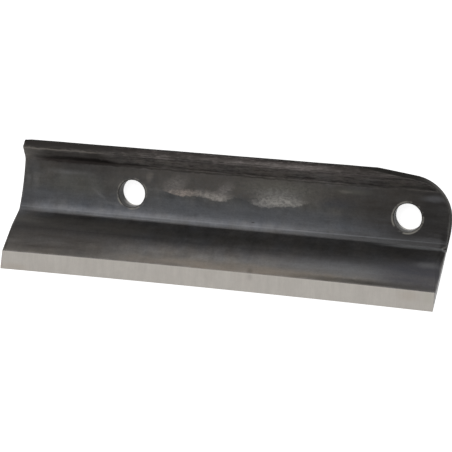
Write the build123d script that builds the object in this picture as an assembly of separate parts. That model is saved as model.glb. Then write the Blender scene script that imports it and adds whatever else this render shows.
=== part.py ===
"""Chopper knife for a chopping drum: one bent and ground piece of hardened steel.

Millimetres. The knife lies on the flat back of its flange. X runs along the knife, Y across
the flange towards the lip, Z out of the flange. The origin is on the back, halfway between
the two bolt holes.
"""

import os
from math import asin, cos, degrees, radians, sin, sqrt, tan

from build123d import *

# Bolt holes, for M20 bolts
hole_spacing = 225.0
hole_radius = 11.0
hole_chamfer = 1.5

# Flange: flat back, front face hollow across its height
flange_thickness = 10.5
hollow_radius = 110.0
hollow_lowest_y = 14.0

# Lip: a roof-shaped bead along the top of the flange
lip_foot_y = 21.8
lip_flank_angle = 37.0
ridge_y = 32.4
lip_top_angle = 36.0
lip_top_y = 37.6
top_edge_draft = 7.5
lip_foot_round = 8.0
ridge_round = 2.0
top_edge_round = 0.6

# Bend and blade: the front is steep at the bend, then eases to the blade angle
crease_y = -20.3
crease_round = 4.0
steep_angle = 53.5
steep_length = 17.0
knee_round = 40.0
blade_angle = 42.8
gentle_length = 25.3
blade_thickness = 9.0
outer_bend_round = 12.0

# Ground bevel, hollow along the knife
bevel_angle = 5.0
bevel_hollow = 0.73
bevel_hollow_x = -28.0

# Ends, both cut at the same slant
left_overhang = 94.0
right_overhang = 33.5
end_slant = 3.8
left_end_break = 1.0
right_end_break = 0.5

# Rounded top right corner: a straight relief, then an arc into the end
corner_relief_angle = 7.3
corner_relief_start = 78.5
corner_round = 34.0

# Ground relief at the right end of the blade's front, widest at the bend: it starts this far
# past the crease's rounding and would run out this far past the front, if not for the bevel
relief_width = 7.8
relief_start = 0.2261
relief_past_heel = 4.7
relief_tilt = 32.0

# How far the blanks and cutters reach past the finished form
margin = 30.0

# A face counts as an end when its normal is within this angle of X
end_facing_angle = 18.0


def hollow_z(y):
    """Height of the hollow front face above the flat back."""
    drop = sqrt(hollow_radius**2 - (y - hollow_lowest_y) ** 2)
    return flange_thickness + hollow_radius - drop


def up_blade(start, angle, length):
    """The point reached from start by going away from the lip and out at an angle."""
    return start[0] - length * cos(radians(angle)), start[1] + length * sin(radians(angle))


def section_corners():
    """Corners of the section as Y and Z, before rounding and before the bevel is ground."""
    foot = (lip_foot_y, hollow_z(lip_foot_y))
    ridge = (ridge_y, foot[1] + (ridge_y - lip_foot_y) * tan(radians(lip_flank_angle)))
    top = (lip_top_y, ridge[1] - (lip_top_y - ridge_y) * tan(radians(lip_top_angle)))
    top_back = (lip_top_y - top[1] * tan(radians(top_edge_draft)), 0.0)
    crease = (crease_y, hollow_z(crease_y))
    knee = up_blade(crease, steep_angle, steep_length)
    tip = up_blade(knee, blade_angle, gentle_length + margin)
    tip_back = up_blade(tip, blade_angle - 90.0, blade_thickness)
    bend_back = (tip_back[0] + tip_back[1] / tan(radians(blade_angle)), 0.0)
    return {
        "foot": foot,
        "ridge": ridge,
        "top": top,
        "top_back": top_back,
        "bend_back": bend_back,
        "tip_back": tip_back,
        "tip": tip,
        "knee": knee,
        "crease": crease,
    }


def section_face():
    """The rolled and bent section with its rounded corners."""
    corners = section_corners()
    middle_y = (lip_foot_y + crease_y) / 2
    rounds = {
        "foot": lip_foot_round,
        "ridge": ridge_round,
        "top": top_edge_round,
        "top_back": top_edge_round,
        "bend_back": outer_bend_round,
        "knee": knee_round,
        "crease": crease_round,
    }
    with BuildSketch(Plane.YZ) as sketch:
        with BuildLine():
            Polyline(*corners.values())
            ThreePointArc(corners["crease"], (middle_y, hollow_z(middle_y)), corners["foot"])
        make_face()
        for name, radius in rounds.items():
            y, z = corners[name]
            corner = sketch.vertices().sort_by_distance((y, z, 0))[0]
            fillet(corner, radius)
    return sketch.sketch


def left_end_x(y):
    """X of the slanted left end at a distance above the hole line."""
    return -hole_spacing / 2 - left_overhang + y * tan(radians(end_slant))


def right_end_x(y):
    """X of the slanted right end at a distance above the hole line."""
    return hole_spacing / 2 + right_overhang + y * tan(radians(end_slant))


def plan_face():
    """Outline seen from the front, with the rounded top right corner."""
    low = section_corners()["tip_back"][0] - margin
    high = lip_top_y + margin
    fall = tan(radians(corner_relief_angle))
    slant = tan(radians(end_slant))
    start_x = right_end_x(lip_top_y) - corner_relief_start
    corner_y = lip_top_y - fall * corner_relief_start / (1 + fall * slant)
    corner = (right_end_x(corner_y), corner_y)
    with BuildSketch() as sketch:
        with BuildLine():
            Polyline(
                (left_end_x(low), low),
                (right_end_x(low), low),
                corner,
                (start_x - margin / fall, high),
                (left_end_x(high), high),
                close=True,
            )
        make_face()
        fillet(sketch.vertices().sort_by_distance((*corner, 0))[0], corner_round)
    return sketch.sketch


def bevel_cutter():
    """A block over the bevel whose lower face bulges into the blade at mid-length."""
    knee = section_corners()["knee"]
    heel = up_blade(knee, blade_angle, gentle_length)
    half_length = (hole_spacing + left_overhang + right_overhang) / 2
    reach = half_length + margin - bevel_hollow_x
    rise = bevel_hollow * (reach**2 / half_length**2 - 1)
    slope = radians(bevel_angle)
    plane = Plane((bevel_hollow_x, *heel), x_dir=(1, 0, 0), z_dir=(0, -cos(slope), sin(slope)))
    with BuildSketch(plane) as sketch:
        with BuildLine():
            ThreePointArc((-reach, rise), (0, -bevel_hollow), (reach, rise))
            Polyline((reach, rise), (reach, margin * 2), (-reach, margin * 2), (-reach, rise))
        make_face()
    return extrude(sketch.sketch, margin * 2, both=True)


def relief_cutter():
    """A block whose tilted lower face grinds the relief at the right end of the blade."""
    knee = section_corners()["knee"]
    near = up_blade(knee, blade_angle, -steep_length)
    front_length = steep_length + gentle_length
    far = up_blade(near, blade_angle, front_length + relief_past_heel)
    near_edge = Vector(right_end_x(near[0]) - relief_width, *near)
    far_edge = Vector(right_end_x(far[0]), *far)
    out = Vector(0, sin(radians(blade_angle)), cos(radians(blade_angle)))
    face = Plane(near_edge, x_dir=far_edge - near_edge, z_dir=out) * Rot(X=-relief_tilt)
    low = (Align.CENTER, Align.CENTER, Align.MIN)
    block = face * Box(margin * 6, margin, margin, align=low)
    down = Vector(0, -cos(radians(blade_angle)), sin(radians(blade_angle)))
    lean = degrees(asin((hollow_lowest_y - crease_y) / hollow_radius))
    rounding = crease_round * tan(radians((steep_angle - lean) / 2))
    stop = Plane(near_edge + down * (rounding + relief_start), z_dir=down)
    return block & stop * Box(margin * 6, margin * 6, margin * 3, align=low)


def end_face(knife, x):
    """The flat end of the knife nearest to x."""
    facing = cos(radians(end_facing_angle))
    faces = knife.faces().filter_by(GeomType.PLANE)
    ends = [face for face in faces if abs(face.normal_at(face.center()).X) > facing]
    return min(ends, key=lambda face: abs(face.center().X - x))


def bolt_hole_cutter(x):
    """A through hole whose chamfer is square to the front at the hole line."""
    hole = Pos(x, 0, 0) * Cylinder(hole_radius, margin * 2)
    nose = hole_radius / 2
    low = (Align.CENTER, Align.CENTER, Align.MIN)
    cone = Cone(nose, nose + margin, margin, align=low)
    lean = degrees(asin(hollow_lowest_y / hollow_radius))
    front = Pos(x, 0, hollow_z(0)) * Rot(X=-lean)
    return hole + front * Pos(0, 0, nose - hole_radius - hole_chamfer) * cone


def chopper_knife():
    """The finished knife."""
    length = hole_spacing + left_overhang + right_overhang + margin * 2
    blank = Pos(left_end_x(0) - margin, 0, 0) * extrude(section_face(), length, dir=(1, 0, 0))
    knife = blank & Pos(0, 0, -margin) * extrude(plan_face(), margin * 5)
    knife -= bevel_cutter()
    knife -= relief_cutter()
    knife = knife.fillet(left_end_break, end_face(knife, left_end_x(0)).edges())
    knife = knife.fillet(right_end_break, end_face(knife, right_end_x(0)).edges())
    for x in (-hole_spacing / 2, hole_spacing / 2):
        knife -= bolt_hole_cutter(x)
    return knife


os.makedirs("parts", exist_ok=True)
knife = chopper_knife()
export_step(knife, "parts/chopper_knife.step")
print("volume cm3", round(knife.volume / 1000, 1))
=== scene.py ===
# %% [markdown]
# # A chopper knife for a chopping drum
# The real knife is one piece of steel: rolled with a thick lip, bent along its length, hardened
# in a furnace so that it turns dark, and then ground bright along its cutting edge. This lesson
# makes the same piece: a section swept along a line, cut to shape as the real one is, with its
# edges broken and its skin a little uneven. It has four finishes: the dark skin, the bare grind,
# the cut edges and the walls of the holes.
# Lengths are in millimetres until the mesh is made, and the frame's own unit is the metre.

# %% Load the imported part
from contextlib import contextmanager
from math import cos, degrees, pi, radians, sin, sqrt, tan

import bmesh
import bpy
from mathutils import Matrix, Vector


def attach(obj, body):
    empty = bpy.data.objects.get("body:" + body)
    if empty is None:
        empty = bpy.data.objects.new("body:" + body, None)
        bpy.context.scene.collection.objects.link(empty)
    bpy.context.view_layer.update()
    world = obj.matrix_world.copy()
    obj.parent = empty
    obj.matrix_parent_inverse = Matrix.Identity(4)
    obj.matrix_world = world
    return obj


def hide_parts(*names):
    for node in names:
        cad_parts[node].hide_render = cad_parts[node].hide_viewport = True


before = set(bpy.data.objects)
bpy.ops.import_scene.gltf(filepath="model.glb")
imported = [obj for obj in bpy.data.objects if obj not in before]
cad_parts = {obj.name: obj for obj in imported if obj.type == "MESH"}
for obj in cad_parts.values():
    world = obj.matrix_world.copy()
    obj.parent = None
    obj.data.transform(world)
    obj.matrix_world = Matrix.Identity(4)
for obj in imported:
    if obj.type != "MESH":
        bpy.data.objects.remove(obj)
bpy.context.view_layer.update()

MM = 0.001

# %% [markdown]
# ## The camera
# The photograph was taken from above the knife's right half with a long lens. The camera's place
# and turn were worked out from the outlines and the two round holes, so they are kept as plain
# numbers: a place in millimetres and three axes.

# %% Camera
PHOTO_SIDE = 452
FOCAL_PIXELS = 1800.0
CAMERA_AT = (337.9, 268.4, 1367.4)
CAMERA_TURN = (-2.917816, -0.092800, 0.397288)


def turn_from_vector(turn):
    """The rotation about the vector's direction by its length."""
    vector = Vector(turn)
    return Matrix.Rotation(vector.length, 3, vector.normalized())


def add_camera():
    """A camera whose frame is the photograph's."""
    data = bpy.data.cameras.new("camera")
    data.sensor_width = 36.0
    data.lens = FOCAL_PIXELS / PHOTO_SIDE * data.sensor_width
    data.clip_end = 20.0
    camera = bpy.data.objects.new("camera", data)
    bpy.context.scene.collection.objects.link(camera)
    seen = turn_from_vector(CAMERA_TURN).transposed() @ Matrix.Diagonal((1, -1, -1))
    camera.matrix_world = Matrix.Translation(Vector(CAMERA_AT) * MM) @ seen.to_4x4()
    bpy.context.scene.camera = camera
    return camera


print("lens", round(add_camera().data.lens, 1), "mm")

# %% [markdown]
# ## The section
# Every part of the knife comes from one section in Y and Z: the flat back, the hollow front of
# the flange, the roof-shaped lip, the bend and the blade. It is drawn as corners, and each
# corner is rounded with an arc that meets both sides smoothly, as rolling and bending leave it.

# %% Section corners
FLANGE_THICKNESS = 10.5
HOLLOW_RADIUS = 110.0
HOLLOW_LOWEST_Y = 14.0
LIP_FOOT_Y = 21.8
LIP_FLANK_ANGLE = 37.0
RIDGE_Y = 32.4
LIP_TOP_ANGLE = 36.0
LIP_TOP_Y = 37.6
TOP_EDGE_DRAFT = 7.5
CREASE_Y = -20.3
STEEP_ANGLE = 53.5
STEEP_LENGTH = 17.0
BLADE_ANGLE = 42.8
GENTLE_LENGTH = 25.3
BLADE_THICKNESS = 9.0
SPARE = 12.0


def hollow_z(y):
    """Height of the hollow front face above the flat back."""
    drop = sqrt(HOLLOW_RADIUS**2 - (y - HOLLOW_LOWEST_Y) ** 2)
    return FLANGE_THICKNESS + HOLLOW_RADIUS - drop


def up_blade(start, angle, length):
    """The point reached by going away from the lip and out at an angle."""
    return Vector((start[0] - length * cos(radians(angle)), start[1] + length * sin(radians(angle))))


def section_corners():
    """Corners of the section before rounding, with the blade not yet ground."""
    foot = Vector((LIP_FOOT_Y, hollow_z(LIP_FOOT_Y)))
    ridge = foot + Vector((1, tan(radians(LIP_FLANK_ANGLE)))) * (RIDGE_Y - LIP_FOOT_Y)
    top = ridge + Vector((1, -tan(radians(LIP_TOP_ANGLE)))) * (LIP_TOP_Y - RIDGE_Y)
    top_back = Vector((LIP_TOP_Y - top.y * tan(radians(TOP_EDGE_DRAFT)), 0))
    crease = Vector((CREASE_Y, hollow_z(CREASE_Y)))
    knee = up_blade(crease, STEEP_ANGLE, STEEP_LENGTH)
    heel = up_blade(knee, BLADE_ANGLE, GENTLE_LENGTH)
    tip = up_blade(heel, BLADE_ANGLE, SPARE)
    tip_back = up_blade(tip, BLADE_ANGLE - 90, BLADE_THICKNESS)
    bend_back = Vector((tip_back.x + tip_back.y / tan(radians(BLADE_ANGLE)), 0))
    return dict(foot=foot, ridge=ridge, top=top, top_back=top_back, bend_back=bend_back,
                tip_back=tip_back, tip=tip, heel=heel, knee=knee, crease=crease)


corner = section_corners()
print({name: (round(p.x, 1), round(p.y, 1)) for name, p in corner.items()})

# %% Rounded section
ROUNDS = dict(foot=8.0, ridge=2.0, top=0.6, top_back=0.6, bend_back=12.0, knee=40.0, crease=4.0)
ARC_STEP = 4.0
HOLLOW_STEPS = 24
CLEAR_OF_ARCS = 0.8


def rounded(before, at, after, radius):
    """Points of the arc that rounds a corner, from the side of before to the side of after."""
    u = (before - at).normalized()
    v = (after - at).normalized()
    half = u.angle(v) / 2
    centre = at + (u + v).normalized() * radius / sin(half)
    first = at + u * radius / tan(half) - centre
    last = at + v * radius / tan(half) - centre
    swept = first.angle(last)
    steps = max(2, round(degrees(swept) / ARC_STEP))
    points = []
    for i in range(steps + 1):
        t = i / steps
        points.append(centre + (first * sin((1 - t) * swept) + last * sin(t * swept)) / sin(swept))
    return points


def section_points():
    """The closed outline of the section, lip foot first."""
    ys = [LIP_FOOT_Y + (CREASE_Y - LIP_FOOT_Y) * i / HOLLOW_STEPS for i in range(HOLLOW_STEPS + 1)]
    hollow = [Vector((y, hollow_z(y))) for y in ys]
    names = ["ridge", "top", "top_back", "bend_back", "tip_back", "tip", "knee"]
    points = rounded(hollow[1], corner["foot"], corner["ridge"], ROUNDS["foot"])
    chain = ["foot"] + names + ["crease"]
    for i, name in enumerate(names, start=1):
        if name in ROUNDS:
            around = (corner[chain[i - 1]], corner[name], corner[chain[i + 1]])
            points += rounded(*around, ROUNDS[name])
        else:
            points.append(corner[name])
    points += rounded(corner["knee"], corner["crease"], hollow[-2], ROUNDS["crease"])
    low, high = points[-1].x + CLEAR_OF_ARCS, points[0].x - CLEAR_OF_ARCS
    return points + [p for p in reversed(hollow) if low < p.x < high]


section = section_points()
print("section of", len(section), "points")

# %% [markdown]
# ## A Geometry Nodes tree that rolls the bar
# A rolling mill pushes one section along one line. In Blender, Curve to Mesh does the same: the
# section is the profile, a straight line is the rail. The tree also drills the two bolt holes:
# one drill, placed as an instance at both ends of a line as long as the bolt spacing, and cut
# away with a Mesh Boolean. Another spacing or length is then one number.

# %% Helpers for node trees
FLOAT, VECTOR = "NodeSocketFloat", "NodeSocketVector"
GEOMETRY, MATERIAL = "NodeSocketGeometry", "NodeSocketMaterial"


def new_tree(name, kind, inputs, outputs):
    """An empty node tree, what it is given and what it returns. A socket is a type or a number."""
    tree = bpy.data.node_groups.new(name, kind)
    for side, sockets in (("INPUT", inputs), ("OUTPUT", outputs)):
        for socket, what in sockets.items():
            is_number = isinstance(what, float)
            made = tree.interface.new_socket(socket, in_out=side, socket_type=FLOAT if is_number else what)
            if is_number:
                made.default_value = what
    return tree, tree.nodes.new("NodeGroupInput").outputs, tree.nodes.new("NodeGroupOutput").inputs


def feed(tree, node, inputs):
    """Links each named input to its socket, or sets its plain value."""
    for name, value in inputs.items():
        if isinstance(value, bpy.types.NodeSocket):
            tree.links.new(value, node.inputs[name])
        else:
            node.inputs[name].default_value = value


def add_node(tree, kind, inputs=None, **settings):
    """A node with its settings and its inputs."""
    node = tree.nodes.new(kind)
    for key, value in settings.items():
        setattr(node, key, value)
    feed(tree, node, inputs or {})
    return node


def maths(tree, operation, *values):
    """The result of one Math node."""
    return add_node(tree, "ShaderNodeMath", dict(enumerate(values)), operation=operation).outputs[0]


def times(tree, value, factor):
    """A value times a number or another value."""
    return maths(tree, "MULTIPLY", value, factor)


def vector_maths(tree, operation, *values):
    """The result of one Vector Math node."""
    return add_node(tree, "ShaderNodeVectorMath", dict(enumerate(values)), operation=operation).outputs[0]


def scaled(tree, vector, factor):
    """A vector or colour times a value."""
    return add_node(tree, "ShaderNodeVectorMath", {0: vector, "Scale": factor}, operation="SCALE").outputs[0]


def part_of(tree, vector, axis):
    """One part, X, Y or Z, of a vector."""
    return add_node(tree, "ShaderNodeSeparateXYZ", {0: vector}).outputs[axis]


def between(tree, value, low, high, start=0.0, end=1.0, **settings):
    """Maps a value from start..end to low..high."""
    ends = {"Value": value, "From Min": start, "From Max": end, "To Min": low, "To Max": high}
    return add_node(tree, "ShaderNodeMapRange", ends, **settings).outputs[0]


def noise_node(tree, place, scale, detail, roughness):
    """A noise texture."""
    inputs = dict(Vector=place, Scale=scale, Detail=detail, Roughness=roughness)
    return add_node(tree, "ShaderNodeTexNoise", inputs)


# %% The rolled bar
HOLE_SPACING = 225.0
HOLE_XS = (-HOLE_SPACING / 2, HOLE_SPACING / 2)
HOLE_RADIUS = 11.0
LEFT_OVERHANG = 94.0
RIGHT_OVERHANG = 33.5
END_SLANT = 3.8
BAR_SPARE = 12.0
DRILL_BELOW, DRILL_ABOVE = 20.0, 40.0
DRILL_SIDES = 96
skin_material = bpy.data.materials.new("dark_skin")


def finish_tree(tree, geometry, given, result):
    """Ends a Geometry Nodes tree in plain geometry with its material set."""
    solid = add_node(tree, "GeometryNodeRealizeInstances", dict(Geometry=geometry))
    coated = add_node(tree, "GeometryNodeSetMaterial",
                      dict(Geometry=solid.outputs[0], Material=given["Material"]))
    tree.links.new(coated.outputs[0], result[0])
    return tree


def bar_tree():
    """Sweeps the section along X and drills the bolt holes."""
    inputs = dict(Section=GEOMETRY, Drill="NodeSocketObject", Material=MATERIAL,
                  Start=0.0, End=1.0, Spacing=1.0)
    tree, given, result = new_tree("rolled bar", "GeometryNodeTree", inputs, dict(Bar=GEOMETRY))
    half = times(tree, given["Spacing"], -0.5)
    start, end, first, step = (add_node(tree, "ShaderNodeCombineXYZ", dict(X=x)).outputs[0]
                               for x in (given["Start"], given["End"], half, given["Spacing"]))
    profile = add_node(tree, "GeometryNodeMeshToCurve", dict(Mesh=given["Section"]))
    rail = add_node(tree, "GeometryNodeCurvePrimitiveLine", dict(Start=start, End=end))
    bar = add_node(tree, "GeometryNodeCurveToMesh",
                   {"Curve": rail.outputs[0], "Profile Curve": profile.outputs[0], "Fill Caps": True})
    line = add_node(tree, "GeometryNodeMeshLine", {"Count": 2, "Start Location": first, "Offset": step})
    drill = add_node(tree, "GeometryNodeObjectInfo", dict(Object=given["Drill"]))
    drills = add_node(tree, "GeometryNodeInstanceOnPoints",
                      dict(Points=line.outputs[0], Instance=drill.outputs["Geometry"]))
    real = add_node(tree, "GeometryNodeRealizeInstances", dict(Geometry=drills.outputs[0]))
    cut = add_node(tree, "GeometryNodeMeshBoolean", {"Mesh 1": bar.outputs[0], "Mesh 2": real.outputs[0]},
                   operation="DIFFERENCE", solver="EXACT")
    return finish_tree(tree, cut.outputs[0], given, result)


def mesh_object(name, points, faces=(), edges=()):
    """A mesh object from points in millimetres."""
    mesh = bpy.data.meshes.new(name)
    mesh.from_pydata([Vector(p) * MM for p in points], edges, faces)
    made = bpy.data.objects.new(name, mesh)
    bpy.context.scene.collection.objects.link(made)
    return made


def lathe_object(name, profile, sides):
    """A closed solid of revolution about Z from (radius, height) pairs, lowest first."""
    points = [(r * cos(2 * pi * i / sides), r * sin(2 * pi * i / sides), z)
              for r, z in profile for i in range(sides)]
    faces = [tuple(reversed(range(sides))), tuple(range((len(profile) - 1) * sides, len(profile) * sides))]
    for ring in range(len(profile) - 1):
        low = ring * sides
        for i in range(sides):
            j = (i + 1) % sides
            faces.append((low + i, low + j, low + sides + j, low + sides + i))
    return mesh_object(name, points, faces)


@contextmanager
def editing(mesh):
    """A mesh opened for editing and written back at the end."""
    work = bmesh.new()
    work.from_mesh(mesh)
    yield work
    work.to_mesh(mesh)
    work.free()


def open_edges(work):
    """How many edges don't join two faces; none, where a mesh is closed."""
    return sum(not edge.is_manifold for edge in work.edges)


def outward(mesh):
    """Turns all faces of a closed mesh outwards."""
    with editing(mesh) as work:
        bmesh.ops.recalc_face_normals(work, faces=work.faces)


def baked(holder):
    """The object's mesh with its modifiers applied, which then come off."""
    bpy.context.view_layer.update()
    mesh = bpy.data.meshes.new_from_object(holder.evaluated_get(bpy.context.evaluated_depsgraph_get()))
    holder.modifiers.clear()
    return mesh


def run_tree(holder, tree, values):
    """Runs a Geometry Nodes tree on an object and returns the result as a plain mesh."""
    modifier = holder.modifiers.new(tree.name, "NODES")
    modifier.node_group = tree
    for item in tree.interface.items_tree:
        if item.in_out == "INPUT" and item.name in values:
            modifier[item.identifier] = values[item.name]
    return baked(holder)


def roll_bar():
    """The drilled bar, longer than the knife at both ends and at the blade's tip."""
    count = len(section)
    outline = mesh_object("section", [(-p.x, -p.y, 0) for p in section],
                          edges=[(i, (i + 1) % count) for i in range(count)])
    drill = lathe_object("drill", [(HOLE_RADIUS, -DRILL_BELOW), (HOLE_RADIUS, DRILL_ABOVE)], DRILL_SIDES)
    outward(drill.data)
    start = -HOLE_SPACING / 2 - LEFT_OVERHANG - BAR_SPARE
    end = HOLE_SPACING / 2 + RIGHT_OVERHANG + BAR_SPARE
    mesh = run_tree(outline, bar_tree(), dict(Drill=drill, Material=skin_material, Start=start * MM,
                                              End=end * MM, Spacing=HOLE_SPACING * MM))
    for tool in (outline, drill):
        bpy.data.objects.remove(tool)
    return mesh


bar = roll_bar()
print("bar of", len(bar.vertices), "points, drilled twice,", HOLE_SPACING, "mm apart")

# %% [markdown]
# ## Cutting and grinding
# The bar is cut to shape as in the workshop. One prism has the outline seen from the front: two
# slanted ends and the rounded corner. A block with a long shallow arc grinds the bevel, a little
# deeper at mid-length. A tilted block grinds the relief at the right end of the blade. Each is a
# simple closed solid, and Boolean modifiers do the work, so every cut stays exact.

# %% Cutting tools
CORNER_RELIEF_ANGLE = 7.3
CORNER_RELIEF_START = 78.5
CORNER_ROUND = 34.0
BEVEL_ANGLE = 5.0
BEVEL_HOLLOW = 0.73
BEVEL_HOLLOW_X = -28.0
RELIEF_WIDTH = 7.8
RELIEF_LENGTH = 47.0
RELIEF_TILT = 32.0
RELIEF_RUN_OUT = 1.5
# The tools reach past the knife
PLAN_LOW_Y, PLAN_ABOVE_LIP = -110.0, 30.0
PLAN_LOW_Z, PLAN_HIGH_Z = -20.0, 120.0
WHEEL_STEPS, WHEEL_SPARE = 48, 60.0
RELIEF_BLOCK_SIDE, RELIEF_BLOCK_LENGTH = 30.0, 90.0
ALONG = Vector((1, 0, 0))


def left_end_x(y):
    """X of the slanted left end."""
    return -HOLE_SPACING / 2 - LEFT_OVERHANG + y * tan(radians(END_SLANT))


def right_end_x(y):
    """X of the slanted right end."""
    return HOLE_SPACING / 2 + RIGHT_OVERHANG + y * tan(radians(END_SLANT))


def prism(name, outline, origin, x_axis, y_axis, low, high):
    """A closed prism: an outline in a plane, pushed along the plane's normal."""
    origin, x_axis, y_axis = Vector(origin), Vector(x_axis), Vector(y_axis)
    normal = x_axis.cross(y_axis).normalized()
    base = [origin + x_axis * u + y_axis * v for u, v in outline]
    count = len(base)
    points = [p + normal * low for p in base] + [p + normal * high for p in base]
    faces = [tuple(range(count)), tuple(range(count, 2 * count))]
    faces += [(i, (i + 1) % count, count + (i + 1) % count, count + i) for i in range(count)]
    made = mesh_object(name, points, faces)
    outward(made.data)
    return made


def plan_tool():
    """The knife's outline from the front, as a tall prism."""
    low, high = PLAN_LOW_Y, LIP_TOP_Y + PLAN_ABOVE_LIP
    fall, slant = tan(radians(CORNER_RELIEF_ANGLE)), tan(radians(END_SLANT))
    start = Vector((right_end_x(LIP_TOP_Y) - CORNER_RELIEF_START, LIP_TOP_Y))
    corner_y = LIP_TOP_Y - fall * CORNER_RELIEF_START / (1 + fall * slant)
    at = Vector((right_end_x(corner_y), corner_y))
    below = Vector((right_end_x(low), low))
    outline = [(left_end_x(low), low), below] + rounded(below, at, start, CORNER_ROUND)
    outline += [(start.x - (high - start.y) / fall, high), (left_end_x(high), high)]
    return prism("plan", outline, (0, 0, 0), ALONG, (0, 1, 0), PLAN_LOW_Z, PLAN_HIGH_Z)


def bevel_tool():
    """The grinding block over the bevel, whose lower face bulges down at mid-length."""
    half_length = (HOLE_SPACING + LEFT_OVERHANG + RIGHT_OVERHANG) / 2
    reach = half_length + WHEEL_SPARE
    outline = [(reach, WHEEL_SPARE), (-reach, WHEEL_SPARE)]
    for i in range(WHEEL_STEPS + 1):
        x = -reach + 2 * reach * i / WHEEL_STEPS
        outline.append((x, BEVEL_HOLLOW * (x**2 / half_length**2 - 1)))
    slope = radians(BEVEL_ANGLE)
    origin = (BEVEL_HOLLOW_X, corner["heel"].x, corner["heel"].y)
    return prism("bevel", outline, origin, ALONG, (0, sin(slope), cos(slope)), -WHEEL_SPARE, WHEEL_SPARE)


def relief_tool():
    """The tilted block that grinds the relief, stopped just short of the crease."""
    near = up_blade(corner["knee"], BLADE_ANGLE, -STEEP_LENGTH)
    far = up_blade(near, BLADE_ANGLE, RELIEF_LENGTH)
    near_edge = Vector((right_end_x(near.x) - RELIEF_WIDTH, near.x, near.y))
    far_edge = Vector((right_end_x(far.x), far.x, far.y))
    out = Vector((0, sin(radians(BLADE_ANGLE)), cos(radians(BLADE_ANGLE))))
    down = (far_edge - near_edge).normalized()
    across = out.cross(down)
    tilt = Matrix.Rotation(-radians(RELIEF_TILT), 3, down)
    start = near_edge + down * RELIEF_RUN_OUT
    high, half = RELIEF_BLOCK_SIDE, RELIEF_BLOCK_SIDE / 2
    outline = [(-half, 0), (half, 0), (half, high), (-half, high)]
    return prism("relief", outline, start, tilt @ across, tilt @ out, 0, RELIEF_BLOCK_LENGTH)


def cut_knife(mesh):
    """Applies the cuts to the bar with Boolean modifiers."""
    knife = bpy.data.objects.new("knife", mesh)
    bpy.context.scene.collection.objects.link(knife)
    tools = ((plan_tool(), "INTERSECT"), (bevel_tool(), "DIFFERENCE"), (relief_tool(), "DIFFERENCE"))
    for tool, operation in tools:
        modifier = knife.modifiers.new(tool.name, "BOOLEAN")
        modifier.object = tool
        modifier.operation = operation
        modifier.solver = "EXACT"
    knife.data = baked(knife)
    for tool, operation in tools:
        bpy.data.objects.remove(tool)
    return knife


def print_solid(mesh):
    """Prints the points, the volume and the open edges of a mesh."""
    work = bmesh.new()
    work.from_mesh(mesh)
    volume = work.calc_volume() / MM**3 / 1000
    print("cut knife:", len(work.verts), "points,", round(volume, 1), "cm3, open edges", open_edges(work))
    work.free()


knife = cut_knife(bar)
print_solid(knife.data)

# %% [markdown]
# ## Broken edges and small cells
# No real edge is perfectly sharp, and the thin line of light along each edge is what makes steel
# look solid. So every sharp edge gets a small bevel, the rims of the bolt holes a wider one, and
# the cutting edge a tiny one. Then the faces are sliced into small cells. That changes no shape,
# but it gives the uneven skin of rolled steel something to move.

# %% Broken edges
SHARP_ANGLE = 25.0
EDGE_BREAK = 0.6
HOLE_CHAMFER = 1.5
GROUND_EDGE_BREAK = 0.25
CUTTING_EDGE_BREAK = 0.12
SAME_POINT = 0.02
# The place of an edge's middle tells which edge it is
RIM_REACH = 0.5
GROUND_ABOVE_Z, GROUND_BELOW_Y = 40.0, -42.0
CUTTING_ABOVE_Z, CUTTING_PAST_HEEL = 46.0, 8.0
BORDER_FROM, BORDER_SPARE = 0.4, 2.0
BORDER_ABOVE_Z, BORDER_PAST_CREASE = 12.0, 1.0


def edge_break(middle):
    """How far an edge is broken, in millimetres, from the place of its middle."""
    for x in HOLE_XS:
        if Vector((middle.x - x, middle.y)).length < HOLE_RADIUS + RIM_REACH:
            return HOLE_CHAMFER if middle.z > FLANGE_THICKNESS / 2 else EDGE_BREAK
    if middle.z > CUTTING_ABOVE_Z and middle.y < corner["heel"].x - CUTTING_PAST_HEEL:
        return CUTTING_EDGE_BREAK
    if middle.z > GROUND_ABOVE_Z and middle.y < GROUND_BELOW_Y:
        return GROUND_EDGE_BREAK
    return EDGE_BREAK


def on_relief(middle):
    """Whether an edge is the relief's inner border, which is ground over and shows no wear."""
    inside = right_end_x(middle.y) - middle.x
    on_blade = middle.y < CREASE_Y - BORDER_PAST_CREASE and middle.z > BORDER_ABOVE_Z
    return on_blade and BORDER_FROM < inside < RELIEF_WIDTH + BORDER_SPARE


def break_edges(knife):
    """Bevels each sharp edge by its own amount and returns points along these edges."""
    along = []
    with editing(knife.data) as work:
        bmesh.ops.remove_doubles(work, verts=work.verts, dist=SAME_POINT * MM)
        bmesh.ops.dissolve_degenerate(work, edges=work.edges, dist=SAME_POINT * MM)
        bmesh.ops.recalc_face_normals(work, faces=work.faces)
        weight = work.edges.layers.float.new("bevel_weight_edge")
        for edge in work.edges:
            if len(edge.link_faces) == 2 and edge.calc_face_angle(0) > radians(SHARP_ANGLE):
                a, b = edge.verts[0].co / MM, edge.verts[1].co / MM
                edge[weight] = edge_break((a + b) / 2) / HOLE_CHAMFER
                if not on_relief((a + b) / 2):
                    steps = max(1, round((b - a).length))
                    along += [a.lerp(b, i / steps) for i in range(steps + 1)]
    modifier = knife.modifiers.new("edges", "BEVEL")
    modifier.limit_method = "WEIGHT"
    modifier.width = HOLE_CHAMFER * MM
    modifier.segments = 2
    modifier.use_clamp_overlap = True
    knife.data = baked(knife)
    return along


sharp_points = break_edges(knife)
print("with broken edges", len(knife.data.vertices), "points,", len(sharp_points), "places along the edges")

# %% Small cells
CELL = 2.1
ON_PLANE = 0.005


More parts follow.
